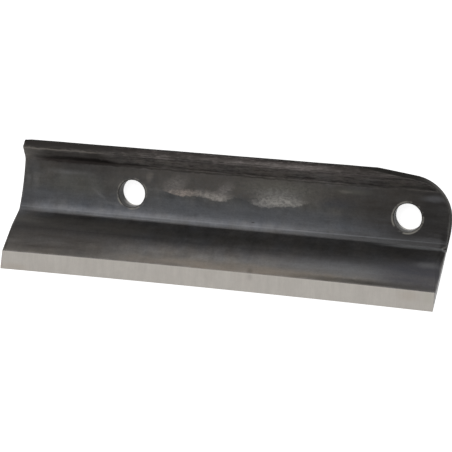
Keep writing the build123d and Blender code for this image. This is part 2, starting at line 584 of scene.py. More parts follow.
def slice_mesh(mesh, spacing):
    """Cuts all faces on a lattice of planes, so that none stays long."""
    with editing(mesh) as work:
        bmesh.ops.triangulate(work, faces=[f for f in work.faces if len(f.verts) > 4])
        for axis in range(3):
            places = [v.co[axis] for v in work.verts]
            at = min(places) + spacing
            normal = Vector([float(i == axis) for i in range(3)])
            while at < max(places):
                bmesh.ops.bisect_plane(work, geom=work.verts[:] + work.edges[:] + work.faces[:],
                                       plane_co=normal * at, plane_no=normal, dist=ON_PLANE * MM)
                at += spacing
        print("triangles:", sum(len(f.verts) - 2 for f in work.faces), "open edges:", open_edges(work))


slice_mesh(knife.data, CELL * MM)

# %% [markdown]
# ## Unrolled coordinates
# The marks on the skin follow the steel, not space: rolling streaks run along the bar, stains lie
# on the front, the painted shade in the bend runs all along it. So each point gets its place as if
# the section were unrolled flat: X along the knife, and the run across the front, counted from the
# top edge over the lip, the hollow, the bend and the bevel, and on round the back. It is kept as an
# attribute in millimetres, with the distance to the nearest sharp edge beside it, for wear.

# %% Run round the section
import numpy as np
from mathutils.kdtree import KDTree


def crossing(p, u, q, v):
    """Where the line from p along u meets the line from q along v."""
    return p + u * ((q - p).cross(v) / u.cross(v))


def ground_outline():
    """The section as ground, from the top corner over the front and round the back."""
    along_bevel = Vector((-cos(radians(BEVEL_ANGLE)), sin(radians(BEVEL_ANGLE))))
    along_blade = Vector((-cos(radians(BLADE_ANGLE)), sin(radians(BLADE_ANGLE))))
    edge = crossing(corner["heel"], along_bevel, corner["tip_back"], along_blade)
    tip = section.index(corner["tip"])
    ring = section[:tip - 1] + [edge, corner["heel"]] + section[tip + 1:]
    ring.reverse()
    start = min(range(len(ring)), key=lambda i: (ring[i] - corner["top"]).length)
    return ring[start:] + ring[:start + 1]


outline = np.array([tuple(p) for p in ground_outline()])
steps = np.linalg.norm(np.diff(outline, axis=0), axis=1)
runs = np.concatenate([[0.0], np.cumsum(steps)])


def run_at(y, z):
    """Runs round the section of the outline's points nearest to y and z."""
    best = np.full(len(y), 1e9)
    found = np.zeros(len(y))
    for i in range(len(steps)):
        if steps[i] == 0:
            continue
        side = (outline[i + 1] - outline[i]) / steps[i]
        t = np.clip((y - outline[i, 0]) * side[0] + (z - outline[i, 1]) * side[1], 0, steps[i])
        gap = np.hypot(y - outline[i, 0] - t * side[0], z - outline[i, 1] - t * side[1])
        nearer = gap < best
        best[nearer] = gap[nearer]
        found[nearer] = runs[i] + t[nearer]
    return found


RUN = {name: float(run_at(np.array([corner[name].x]), np.array([corner[name].y]))[0])
       for name in ("ridge", "foot", "crease", "knee", "heel")}
RUN["hole"] = float(run_at(np.array([0.0]), np.array([hollow_z(0)]))[0])
LOOP = float(runs[-1])
print("run in mm to", {name: round(run, 1) for name, run in RUN.items()}, "and all round", round(LOOP, 1))

# %% Attributes on the mesh
FARTHEST = 20.0


def keep_places(mesh, edge_points):
    """Stores the unrolled place and the distance to a sharp edge at every point."""
    count = len(mesh.vertices)
    place = np.empty(count * 3)
    mesh.vertices.foreach_get("co", place)
    place = place.reshape(count, 3) / MM
    unrolled = np.column_stack([place[:, 0], run_at(place[:, 1], place[:, 2]), np.zeros(count)])
    mesh.attributes.new("unrolled", "FLOAT_VECTOR", "POINT").data.foreach_set("vector", unrolled.ravel())
    tree = KDTree(len(edge_points))
    for i, point in enumerate(edge_points):
        tree.insert(point, i)
    tree.balance()
    gaps = [min(tree.find(p)[2], FARTHEST) for p in place]
    mesh.attributes.new("from_edge", "FLOAT", "POINT").data.foreach_set("value", gaps)


keep_places(knife.data, sharp_points)

# %% [markdown]
# ## An uneven skin
# Hot rolling, bending and quenching leave steel a little wavy, by a tenth of a millimetre or two,
# but reflections show it. A second Geometry Nodes tree moves each point along its normal by a
# slow noise, and fades out towards the sharp edges and on the ground bevel.

# %% Skin tree
WAVE = 26.0
WAVE_HEIGHT = 0.35
WAVE_FADE_FROM, WAVE_FADE_TO = 0.3, 5.0
HEEL_FADE = 3.0
BEVEL_RUN = 18.0


def skin_tree():
    """Moves points along their normals by a slow noise."""
    inputs = dict(Mesh=GEOMETRY, Material=MATERIAL, Wave=1.0, Height=1.0)
    tree, given, result = new_tree("uneven skin", "GeometryNodeTree", inputs, dict(Mesh=GEOMETRY))
    named = "GeometryNodeInputNamedAttribute"
    place, gap = (add_node(tree, named, dict(Name=name), data_type=kind).outputs[0]
                  for name, kind in (("unrolled", "FLOAT_VECTOR"), ("from_edge", "FLOAT")))
    own = add_node(tree, "GeometryNodeInputPosition").outputs[0]
    scale = maths(tree, "DIVIDE", 1.0, given["Wave"])
    noise = noise_node(tree, own, scale, detail=3.0, roughness=0.55)
    wave = times(tree, maths(tree, "SUBTRACT", noise.outputs[0], 0.5), given["Height"])
    run = part_of(tree, place, "Y")
    front = between(tree, run, 1.0, 0.0, RUN["heel"] - HEEL_FADE, RUN["heel"])
    behind = maths(tree, "GREATER_THAN", run, RUN["heel"] + BEVEL_RUN)
    inside = between(tree, gap, 0.0, 1.0, WAVE_FADE_FROM, WAVE_FADE_TO)
    height = times(tree, wave, times(tree, inside, maths(tree, "MAXIMUM", front, behind)))
    offset = scaled(tree, add_node(tree, "GeometryNodeInputNormal").outputs[0], height)
    moved = add_node(tree, "GeometryNodeSetPosition", dict(Geometry=given["Mesh"], Offset=offset))
    return finish_tree(tree, moved.outputs[0], given, result)


wave_inputs = dict(Material=skin_material, Wave=WAVE * MM, Height=WAVE_HEIGHT * MM)
knife.data = run_tree(knife, skin_tree(), wave_inputs)

# %% Smooth shading with sharp edges
SHADE_ANGLE = 30.0


def shade(mesh, angle):
    """Smooth faces, with sharp edges above an angle in degrees."""
    with editing(mesh) as work:
        for face in work.faces:
            face.smooth = True
        for edge in work.edges:
            edge.smooth = edge.calc_face_angle(0) < radians(angle)


shade(knife.data, SHADE_ANGLE)

# %% [markdown]
# ## Effects that the finishes share
# The finishes share four effects, so each is a shader node group: a smudge with a place, a size
# and a soft border, which lays painted shade and highlights as well as stains, streaks that run
# one way, a speckle, and wear along the edges.

# %% Effect groups
NOISE_LOW, NOISE_HIGH = 0.25, 0.75
WEAR_REACH = 1.6


def wide_noise(tree, place, scale, detail):
    """A noise stretched so that it uses the whole way from 0 to 1."""
    noise = noise_node(tree, place, scale, detail, roughness=0.6)
    return between(tree, noise.outputs[0], 0.0, 1.0, NOISE_LOW, NOISE_HIGH)


def smudge_group():
    """An oval patch on the unrolled front: 1 inside, 0 outside, with a soft border."""
    inputs = dict(Place=VECTOR, Centre=VECTOR, Half=VECTOR, Turn=0.0, Softness=0.5)
    tree, given, result = new_tree("smudge", "ShaderNodeTree", inputs, dict(Mask=0.0))
    off = vector_maths(tree, "SUBTRACT", given["Place"], given["Centre"])
    turned = add_node(tree, "ShaderNodeVectorRotate", dict(Vector=off, Angle=given["Turn"]),
                      rotation_type="Z_AXIS").outputs[0]
    ratio = vector_maths(tree, "DIVIDE", turned, given["Half"])
    far = add_node(tree, "ShaderNodeVectorMath", {0: ratio}, operation="LENGTH").outputs["Value"]
    inner = maths(tree, "SUBTRACT", 1.0, given["Softness"])
    outer = maths(tree, "ADD", 1.0, given["Softness"])
    mask = between(tree, far, 1.0, 0.0, inner, outer, interpolation_type="SMOOTHSTEP")
    tree.links.new(mask, result[0])
    return tree


def streak_group():
    """Noise drawn out into streaks; the lengths along and across are in the place's unit."""
    inputs = dict(Place=VECTOR, Along=30.0, Across=1.0, Detail=3.0)
    tree, given, result = new_tree("streaks", "ShaderNodeTree", inputs, dict(Value=0.0))
    size = add_node(tree, "ShaderNodeCombineXYZ", dict(X=given["Along"], Y=given["Across"], Z=1.0)).outputs[0]
    place = vector_maths(tree, "DIVIDE", given["Place"], size)
    tree.links.new(wide_noise(tree, place, 1.0, given["Detail"]), result[0])
    return tree


def speckle_group():
    """Even noise in space, with the size of its grain in metres."""
    inputs = dict(Place=VECTOR, Size=0.01, Detail=4.0)
    tree, given, result = new_tree("speckle", "ShaderNodeTree", inputs, dict(Value=0.0))
    scale = maths(tree, "DIVIDE", 1.0, given["Size"])
    tree.links.new(wide_noise(tree, given["Place"], scale, given["Detail"]), result[0])
    return tree


def wear_group():
    """Wear along the sharp edges: the distance to the edge, made ragged by a noise."""
    inputs = dict(Distance=1.0, Ragged=0.5, Reach=1.0)
    tree, given, result = new_tree("edge wear", "ShaderNodeTree", inputs, dict(Mask=0.0))
    far = times(tree, times(tree, given["Ragged"], given["Reach"]), WEAR_REACH)
    tree.links.new(between(tree, given["Distance"], 1.0, 0.0, 0.0, far), result[0])
    return tree


GROUPS = dict(smudge=smudge_group(), streaks=streak_group(), speckle=speckle_group(), wear=wear_group())
print("effect groups:", ", ".join(group.name for group in GROUPS.values()))

# %% Helpers for materials
MARK_THIN, MARK_THICK = 0.45, 1.25


def use_group(tree, name, **inputs):
    """One use of an effect group in a material; returns its output."""
    return add_node(tree, "ShaderNodeGroup", inputs, node_tree=GROUPS[name]).outputs[0]


def smudge(tree, place, centre, half, softness, turn=0.0):
    """An oval patch, in unrolled millimetres and turned by degrees."""
    return use_group(tree, "smudge", Place=place, Centre=(*centre, 0), Half=(*half, 1),
                     Softness=softness, Turn=radians(turn))


def streaks(tree, place, along, across, detail):
    """Streaks of a length and a width in millimetres."""
    return use_group(tree, "streaks", Place=place, Along=along, Across=across, Detail=detail)


def speckle(tree, space, size, detail):
    """A speckle with a grain of a size in metres."""
    return use_group(tree, "speckle", Place=space, Size=size, Detail=detail)


def attribute(tree, name, output):
    """What the mesh keeps under a name."""
    node = add_node(tree, "ShaderNodeAttribute", attribute_name=name, attribute_type="GEOMETRY")
    return node.outputs[output]


def worn_edges(tree, ragged, reach):
    """Wear along the sharp edges, over a reach in millimetres."""
    return use_group(tree, "wear", Distance=attribute(tree, "from_edge", "Fac"), Ragged=ragged, Reach=reach)


def mix_colour(tree, factor, under, over):
    """Lays one colour over another; each is a socket or a plain colour."""
    inputs = {0: factor, 6: under, 7: over}
    for key in (6, 7):
        if not isinstance(inputs[key], bpy.types.NodeSocket):
            inputs[key] = (*inputs[key], 1)
    return add_node(tree, "ShaderNodeMix", inputs, data_type="RGBA").outputs[2]


def ragged_place(tree, place, reach, size):
    """A place pushed about by a noise, so that borders turn ragged."""
    noise = noise_node(tree, place, 1 / size, detail=4.0, roughness=0.6)
    centred = vector_maths(tree, "SUBTRACT", noise.outputs["Color"], (0.5, 0.5, 0.5))
    push = vector_maths(tree, "MULTIPLY", centred, (reach * 2, reach, 0))
    return vector_maths(tree, "ADD", place, push)


def varied(tree, colour, *changes):
    """A colour made darker or lighter by values, each mapped from low to high."""
    for value, low, high in changes:
        colour = scaled(tree, colour, between(tree, value, low, high))
    return colour


def lay_stains_and_painted_light(tree, place, texture, colour, mark_table, within=None):
    """Lays named marks over a colour, stains and painted light alike, each broken up by a texture and kept
    within a mask.
    """
    for _, centre, half, turn, softness, over, strength in mark_table:
        mask = smudge(tree, place, centre, half, softness, turn)
        broken = times(tree, mask, between(tree, texture, strength * MARK_THIN, strength * MARK_THICK))
        if within:
            broken = times(tree, broken, within)
        colour = mix_colour(tree, broken, colour, over)
    return colour


def start_finish(material):
    """The node tree of a finish, its shader and the place in space."""
    material.use_nodes = True
    tree = material.node_tree
    return tree, tree.nodes["Principled BSDF"], add_node(tree, "ShaderNodeTexCoord").outputs["Object"]


def end_finish(tree, shader, colour, metallic, roughness, relief, strength, depth, specular=0.5):
    """Gives the shader its colour, its gloss and a fine relief of a depth in metres."""
    bump = add_node(tree, "ShaderNodeBump", dict(Height=relief, Strength=strength, Distance=depth))
    feed(tree, shader, {"Base Color": colour, "Metallic": metallic, "Roughness": roughness,
                        "Specular IOR Level": specular, "Normal": bump.outputs[0]})


# %% [markdown]
# ## The dark skin
# Hardening leaves the steel dark: blue-grey on the hollow, brown on the lip, tan near the grind where
# it was tempered. The bend is nearly black, its dark skin deepened by painted shade, and a band of
# painted highlight runs just above the crease. The finish is a metal whose colour is set by a ramp
# over the run across the front, then by streaks and speckle, and last by the smudges and stains that
# a knife collects, among them marks of painted shade and highlight. The stain with a tide mark
# between the holes is the most visible.

# %% Tones across the front
# The near-black brown of the painted shade at the foot of the lip
FOOT_SHADE = (0.036, 0.031, 0.029)
BLACK = (0.014, 0.013, 0.012)
# The brown of the painted shade beside the left hole, under the lip and right of the tide mark
SHADE_BROWN = (0.048, 0.042, 0.037)
WARM_BROWN = (0.105, 0.095, 0.086)
BLUE_GREY = (0.103, 0.106, 0.114)
DEEP_BLUE = (0.05, 0.056, 0.074)
OLIVE_GREY = (0.118, 0.117, 0.103)
BEIGE = (0.33, 0.3, 0.265)
PALE_GREY = (0.3, 0.3, 0.3)
MAUVE = (0.24, 0.212, 0.205)
TAN = (0.2, 0.172, 0.143)
TONES = [
    (0.0, (0.018, 0.0165, 0.016)),
    (3.0, (0.031, 0.028, 0.026)),
    (RUN["ridge"], (0.06, 0.056, 0.052)),
    (RUN["ridge"] + 4, (0.175, 0.165, 0.153)),
    (RUN["foot"] - 5, (0.19, 0.18, 0.168)),
    (RUN["foot"] - 1, (0.1, 0.094, 0.088)),
    (RUN["foot"] + 4, (0.098, 0.094, 0.09)),
    (41.0, (0.094, 0.094, 0.093)),
    (50.0, (0.088, 0.091, 0.097)),
    # From here to just before the crease the tone rises into a painted highlight along the hollow's edge
    (54.0, (0.112, 0.116, 0.125)),
    (57.5, (0.165, 0.169, 0.18)),
    (RUN["crease"] - 2.2, (0.14, 0.143, 0.15)),
    # From the crease to past the knee the tone falls into painted shade over the dark skin, then lightens
    # towards the heel
    (RUN["crease"] - 0.6, (0.085, 0.085, 0.088)),
    (RUN["crease"] + 1.0, (0.056, 0.055, 0.055)),
    (RUN["knee"] - 8, (0.036, 0.035, 0.034)),
    (RUN["knee"] + 2, (0.037, 0.036, 0.036)),
    (RUN["knee"] + 7, (0.07, 0.067, 0.066)),
    (RUN["knee"] + 13, (0.122, 0.116, 0.11)),
    (RUN["heel"] - 1.5, (0.13, 0.122, 0.112)),
    (RUN["heel"], (0.2, 0.19, 0.177)),
    (RUN["heel"] + 20, (0.085, 0.082, 0.08)),
]


def tone_ramp(tree, run):
    """The tones as a colour ramp over the run round the section."""
    ramp = add_node(tree, "ShaderNodeValToRGB", {0: times(tree, run, 1 / LOOP)})
    stops = ramp.color_ramp.elements
    stops[0].position, stops[1].position = 0.0, TONES[-1][0] / LOOP
    stops[0].color, stops[1].color = (*TONES[0][1], 1), (*TONES[-1][1], 1)
    for at, tone in TONES[1:-1]:
        stops.new(at / LOOP).color = (*tone, 1)
    return ramp.outputs["Color"]


# %% Marks on the skin
# name, centre and half size in unrolled millimetres, turn, softness, colour, strength
# Among the tints, stains and rubs, several marks are painted light: those named shade are painted shade, and
# the ridge lines and the pale strip at the corner are painted highlights
SKIN_MARKS = [
    ("blue below the stain", (-20, 48), (105, 6), 0, 0.6, BLUE_GREY, 0.5),
    ("blue patch", (57, 34), (12, 4.0), 0, 0.7, DEEP_BLUE, 0.6),
    ("olive patch at the left", (-160, 38), (22, 9), 0, 0.5, OLIVE_GREY, 0.4),
    ("blue hollow at the left", (-180, 47), (34, 5), 0, 0.8, BLUE_GREY, 0.5),
    ("pale streak at the left", (-168, 27.5), (13, 1.8), 0, 0.9, PALE_GREY, 0.22),
    ("shade beside the left hole", (-133, 36), (6, 12), 0, 0.8, SHADE_BROWN, 0.3),
    ("upright rub at the left end", (-196, 33), (2.4, 11), 4, 1.0, PALE_GREY, 0.18),
    ("second upright rub", (-202, 34), (1.6, 8), 4, 1.0, PALE_GREY, 0.12),
    ("shade under the lip at the left", (-160, 23), (36, 3.6), 0, 0.7, SHADE_BROWN, 0.5),
    ("shade at the crease's left end", (-206, 56), (12, 9), 0, 0.8, (0.07, 0.07, 0.074), 0.9),
    ("dark lip at the left", (-172, 2.6), (72, 3.4), 0, 0.5, (0.026, 0.0235, 0.022), 0.9),
    ("dark flank at the left end", (-198, 12), (22, 5), 0, 0.7, (0.055, 0.051, 0.046), 0.8),
    ("brown flank at the left", (-160, 11.4), (34, 2.6), 0, 0.7, (0.055, 0.049, 0.046), 0.75),
    ("brown round the right hole", (102, 36), (38, 19), 0, 0.6, (0.045, 0.04, 0.036), 0.8),
    ("dark right end", (129, 53), (30, 16), 0, 0.5, (0.036, 0.034, 0.033), 1.0),
    ("shade at the crease's right", (90, 59), (56, 5), 0, 0.8, (0.055, 0.055, 0.056), 0.9),
    ("shade right of the tide mark", (50, 28), (22, 5), 0, 0.8, SHADE_BROWN, 0.45),
    ("dark corner", (137, 29), (15, 18), 0, 0.6, (0.036, 0.034, 0.033), 0.85),
    # Painted highlight: a pale strip along the rounded corner's outline
    ("painted highlight at the corner", (132, 24.4), (7, 2.4), 2, 0.9, (0.2, 0.2, 0.215), 0.45),
    # Painted light that lifts the shade in the concave foot of the lip at the right
    ("painted light on the lip's foot", (119, 16.0), (18, 2.4), 0, 0.8, (0.095, 0.09, 0.084), 0.6),
    ("shade below the fading foot", (122, 20.6), (20, 1.8), 0, 0.8, (0.045, 0.042, 0.04), 0.6),
    ("dark end past the bend", (142.5, 64), (3.4, 13), 4, 0.5, BLACK, 0.75),
    # Painted highlight along the lip's ridge, as are the ridge marks in the middle and at the right
    ("painted highlight on the ridge at the left", (-178, 6.7), (36, 0.7), 0, 0.9, BEIGE, 0.42),
    ("brown lip left of the middle", (-56, 4), (34, 3.4), 0, 0.8, (0.04, 0.036, 0.033), 0.6),
    # Painted highlight along the ridge
    ("painted highlight on the ridge in the middle", (22, 5.2), (50, 2.2), 0, 1.0, MAUVE, 0.24),
    ("second rub in the middle", (30, 9), (34, 2.2), 3, 1.0, MAUVE, 0.22),
    ("rub under the ridge", (-60, 10), (16, 2.0), 3, 0.9, MAUVE, 0.3),
    ("brown lip at the right", (84, 4), (34, 4.4), 0, 0.6, (0.026, 0.023, 0.021), 0.8),
    # Painted highlight along the ridge
    ("painted highlight on the ridge at the right", (74, 8.4), (22, 1.3), 4, 1.0, MAUVE, 0.35),
    ("pale spot at the lip's end", (102, 15.2), (6, 1.0), 4, 0.8, BEIGE, 0.4),
    ("olive spots under the lip", (66, 24.5), (12, 1.8), 0, 0.9, OLIVE_GREY, 0.7),
    ("light spot under the lip", (62, 25), (4, 1.0), 0, 0.8, BEIGE, 0.3),
    ("beige spot by the left hole", (-98.5, 26), (2.4, 3.6), 0, 0.8, BEIGE, 0.4),
    ("brown beside the left hole", (-112, 25), (12, 3.0), 0, 0.7, WARM_BROWN, 0.5),
    ("grey blade at the left", (-150, 72), (62, 5), 0, 0.7, (0.066, 0.062, 0.057), 0.8),
    ("brown blade at the left", (-176, 91), (62, 13), 0, 0.7, (0.043, 0.039, 0.036), 0.85),
    ("shade on the blade at the right", (92, 85), (62, 4.4), 0, 0.8, (0.042, 0.042, 0.044), 0.75),
    ("tan near the heel", (-18, 99.5), (74, 4.2), 0, 0.7, TAN, 0.65),
    ("blue blade at the right", (62, 91), (50, 5.5), 0, 0.7, (0.118, 0.12, 0.126), 0.7),
    ("blue blade end", (130, 94), (30, 14), 0, 0.7, (0.05, 0.05, 0.058), 0.85),
    ("dark line above the heel", (88, 101.2), (48, 2.2), 0, 0.8, (0.05, 0.047, 0.043), 0.85),
    ("smudge over the heel", (-3.5, 101), (2.0, 3.0), 0, 0.9, BLACK, 0.35),
    ("pale end of the knee", (133, 80.5), (9, 2.2), 0, 0.9, PALE_GREY, 0.16),
]
FRAYED_MARKS = [
    # Painted shade at the foot of the lip, where its undercut lies in shade: this mark and the next three
    ("painted shade at the lip's foot", (-162, 16.9), (36, 3.7), 1.0, 0.4, FOOT_SHADE, 1.2),
    ("painted shade at the foot thinning out", (-122, 18.1), (26, 1.7), 1.0, 0.5, FOOT_SHADE, 0.9),
    ("painted shade line under the lip", (-36, 19.2), (140, 0.8), 0, 0.8, BLACK, 0.7),
    ("painted shade line at the lip's end", (84, 18.2), (18, 0.9), 0, 0.7, BLACK, 0.7),
    ("soft scratch", (-139, 44.5), (6, 1.1), -35, 1.0, PALE_GREY, 0.16),
    ("lower soft scratch", (-131, 50.2), (6.5, 1.0), -6, 1.0, PALE_GREY, 0.16),
    ("dark nick", (-10, 55.6), (1.0, 0.42), 20, 0.5, BLACK, 0.75),
    ("dark nick on the lip", (-62, 13), (2.2, 0.4), 10, 0.6, BLACK, 0.6),
]
STRAIGHT_LINES = [
    # Painted highlights along the crease: this line and the next
    ("painted highlight above the crease", (-40, 58.6), (170, 0.45), 0, 0.9, (0.25, 0.255, 0.27), 0.4),
    ("painted highlight at the crease", (-112, 60.9), (40, 0.3), 0, 0.9, (0.27, 0.275, 0.29), 0.3),
    ("pale line past the crease's right end", (122, 63.8), (24, 1.3), 0, 0.8, (0.24, 0.245, 0.25), 0.75),
    ("line on the knee", (-150, 79.4), (60, 0.45), 0, 0.8, (0.03, 0.027, 0.027), 0.5),
    ("dark left end of the blade", (-209.5, 84), (1.6, 24), 3.5, 0.5, BLACK, 0.55),
]

# %% [markdown]
# The stain ends below in a tide mark, a ragged border that is sharp downwards and fades upwards.
# A float curve gives the height of that border along the knife, and the patches of the stain are
# smudges that show only above it.

# %% Tide mark
TIDE_START, TIDE_END = -92.0, 40.0
TIDE_LOW, TIDE_HIGH = 30.0, 46.0
TIDE_SOFT_BELOW, TIDE_SOFT_ABOVE = 0.2, 1.0
TIDE = [(-92, 35), (-82, 37.2), (-70, 39.6), (-59, 38.2), (-50, 39.8), (-38, 41.2), (-30, 38.6),
        (-23, 36.8), (-14, 39.8), (-6, 42.4), (0, 43.2), (8, 41.8), (20, 40.8), (29, 38), (40, 35.5)]
TIDE_PATCHES = [
    ("brown above the stain", (-24, 28), (80, 11), 0, 0.7, WARM_BROWN, 0.7),
    ("olive haze", (10, 27), (28, 6), 0, 0.9, (0.17, 0.165, 0.145), 0.6),
    ("first patch", (-72, 37.3), (13, 2.6), 2, 0.8, (0.42, 0.36, 0.32), 0.75),
    ("haze over the first patch", (-77, 31), (9, 5), 30, 0.9, (0.28, 0.26, 0.245), 0.5),
    ("second patch", (-43, 38.5), (15, 3.6), -4, 0.8, (0.36, 0.335, 0.31), 0.75),
    ("haze over the second patch", (-36, 32.5), (7, 4), 40, 0.9, (0.28, 0.26, 0.25), 0.5),
    ("low point", (-3, 40.5), (11, 3.0), 6, 0.8, (0.3, 0.29, 0.28), 0.65),
    ("third patch", (13, 37.4), (18, 4.0), -3, 0.7, (0.38, 0.366, 0.34), 0.7),
    ("haze over the third patch", (8, 31.5), (16, 3.4), 0, 0.9, (0.26, 0.255, 0.245), 0.5),
]


def tide_mask(tree, place):
    """1 above the tide mark and 0 below it."""
    along = between(tree, part_of(tree, place, "X"), 0.0, 1.0, TIDE_START, TIDE_END)
    border = add_node(tree, "ShaderNodeFloatCurve", dict(Value=along))
    points = border.mapping.curves[0].points
    length, height = TIDE_END - TIDE_START, TIDE_HIGH - TIDE_LOW
    spots = [((x - TIDE_START) / length, (run - TIDE_LOW) / height) for x, run in TIDE]
    points[0].location, points[1].location = spots[0], spots[-1]
    for spot in spots[1:-1]:
        points.new(*spot)
    border.mapping.update()
    level = between(tree, border.outputs[0], TIDE_LOW, TIDE_HIGH)
    above = maths(tree, "SUBTRACT", level, part_of(tree, place, "Y"))
    return between(tree, above, 0.0, 1.0, -TIDE_SOFT_BELOW, TIDE_SOFT_ABOVE)


# %% The dark skin's material
STREAK_BROWN = (0.06, 0.053, 0.05)
WORN_BROWN = (0.26, 0.25, 0.235)
TINT_COLD, TINT_WARM = (0.955, 0.99, 1.05), (1.05, 1.0, 0.94)
# Painted shade and a broken painted highlight on the chamfers round the bolt holes
RING_SHADE, RING_HIGHLIGHT = (0.05, 0.047, 0.043), (0.22, 0.21, 0.19)
RING_INSIDE, RING_OUTSIDE = HOLE_RADIUS + 0.7, HOLE_RADIUS + HOLE_CHAMFER + 0.4
# The edges wear less round the rounded corner
SPARED_CENTRE, SPARED_HALF = (116, 14), (42, 30)
LIP_FADE_FROM, LIP_FADE_TO = -150, -95


def lip_colours(tree, colour, place, run):
    """Lays fine lengthwise streaks, mauve and dark, over the lip's front."""
    lip = times(tree, between(tree, run, 0.35, 1.0, RUN["ridge"] - 4, RUN["ridge"] + 2),
                between(tree, run, 1.0, 0.0, RUN["foot"] - 2, RUN["foot"] + 2))
    lip = times(tree, lip, between(tree, part_of(tree, place, "X"), 0.3, 1.0, LIP_FADE_FROM, LIP_FADE_TO))
    for along, across in ((5.0, 1.3), (20.0, 2.0)):
        streak = streaks(tree, place, along, across, detail=5.0)
        light = times(tree, lip, between(tree, streak, 0.0, 0.65, 0.5, 0.8))
        dark = times(tree, lip, between(tree, streak, 0.75, 0.0, 0.15, 0.48))
        colour = mix_colour(tree, dark, mix_colour(tree, light, colour, MAUVE), STREAK_BROWN)
    return colour


def hole_rings(tree, colour, place, texture):
    """Lays a ring of painted shade round each bolt hole and a broken ring of painted highlight outside it, on
    the chamfers.
    """
    for x in HOLE_XS:
        inner, outer = (smudge(tree, place, (x, RUN["hole"]), (reach, reach), softness=0.03)
                        for reach in (RING_INSIDE, RING_OUTSIDE))
        ring = times(tree, outer, between(tree, inner, 1.0, 0.0))
        broken = times(tree, ring, between(tree, texture, 0.0, 1.0, 0.44, 0.62))
        colour = mix_colour(tree, broken, mix_colour(tree, inner, colour, RING_SHADE), RING_HIGHLIGHT)
    return colour


def dark_skin(material):
    """Hardened steel with its furnace skin."""
    tree, shader, space = start_finish(material)
    plain = attribute(tree, "unrolled", "Vector")
    ragged = ragged_place(tree, plain, reach=3.0, size=9.0)
    frayed = ragged_place(tree, plain, reach=2.4, size=5.0)
    crumbled = ragged_place(tree, plain, reach=4.0, size=6.0)
    crumbled = ragged_place(tree, crumbled, reach=3.0, size=2.2)
    run = part_of(tree, plain, "Y")
    slow = streaks(tree, ragged, along=32.0, across=5.0, detail=6.0)
    fine = streaks(tree, plain, along=16.0, across=0.8, detail=3.0)
    upright = streaks(tree, ragged, along=4.0, across=16.0, detail=4.0)
    blotch = streaks(tree, crumbled, along=3.0, across=2.0, detail=6.0)
    cloud = speckle(tree, space, size=0.012, detail=6.0)
    tint = speckle(tree, space, size=0.017, detail=5.0)
    grit = speckle(tree, space, size=0.0035, detail=5.0)
    grain = speckle(tree, space, size=0.0016, detail=3.0)
    colour = varied(tree, tone_ramp(tree, run), (slow, 0.84, 1.16), (fine, 0.97, 1.03),
                    (upright, 0.93, 1.07), (cloud, 0.78, 1.26), (grit, 0.88, 1.12))
    tinted = mix_colour(tree, tint, TINT_COLD, TINT_WARM)
    colour = vector_maths(tree, "MULTIPLY", colour, tinted)
    colour = lip_colours(tree, colour, frayed, run)
    colour = lay_stains_and_painted_light(tree, ragged, slow, colour, SKIN_MARKS)
    speckled = between(tree, blotch, 0.0, 1.0, 0.3, 0.75)
    colour = lay_stains_and_painted_light(tree, crumbled, speckled, colour, TIDE_PATCHES, tide_mask(tree, crumbled))
    colour = lay_stains_and_painted_light(tree, frayed, slow, colour, FRAYED_MARKS)
    colour = lay_stains_and_painted_light(tree, plain, slow, colour, STRAIGHT_LINES)
    colour = varied(tree, colour, (grain, 0.93, 1.07))
    spared = smudge(tree, plain, SPARED_CENTRE, SPARED_HALF, softness=0.3)
    where = times(tree, between(tree, run, 0.0, 0.4, 1.5, 4.0), between(tree, spared, 1.0, 0.2))
    worn = times(tree, worn_edges(tree, cloud, reach=1.6), where)
    colour = hole_rings(tree, mix_colour(tree, worn, colour, WORN_BROWN), plain, cloud)
    rough = maths(tree, "ADD", between(tree, cloud, 0.34, 0.45), between(tree, grit, -0.03, 0.04))
    height = maths(tree, "ADD", grain, times(tree, fine, 0.6))
    end_finish(tree, shader, colour, metallic=1.0, roughness=rough,
               relief=height, strength=0.35, depth=0.00012)
    return material


# %% [markdown]
# ## The bare grind
# The bevel is ground after hardening, so it is bare bright steel. The wheel leaves fine lines
# across the bevel, from heel to edge, and the light breaks on them.

# %% Bare grind
GRIND_DARK, GRIND_LIGHT = (0.61, 0.572, 0.528), (0.65, 0.618, 0.572)
GRIND_WORN, GRIND_WEAR = (0.72, 0.69, 0.65), 0.25
GRIND_MARKS = [
    ("smudge under the heel", (-3, 105.5), (2.0, 2.2), 0, 0.9, (0.3, 0.28, 0.26), 0.4),
    ("warm patch at the right", (122, 108), (7, 3.5), 0, 0.8, (0.52, 0.45, 0.38), 0.5),
    ("olive patch at the right end", (137, 108), (4, 5), 0, 0.8, (0.55, 0.53, 0.46), 0.5),
    ("darker right end", (142.8, 112), (0.7, 9), 3.8, 0.6, (0.26, 0.25, 0.24), 0.8),
    ("warm left end", (-200, 116), (12, 2.5), 0, 0.8, (0.54, 0.47, 0.4), 0.4),
]


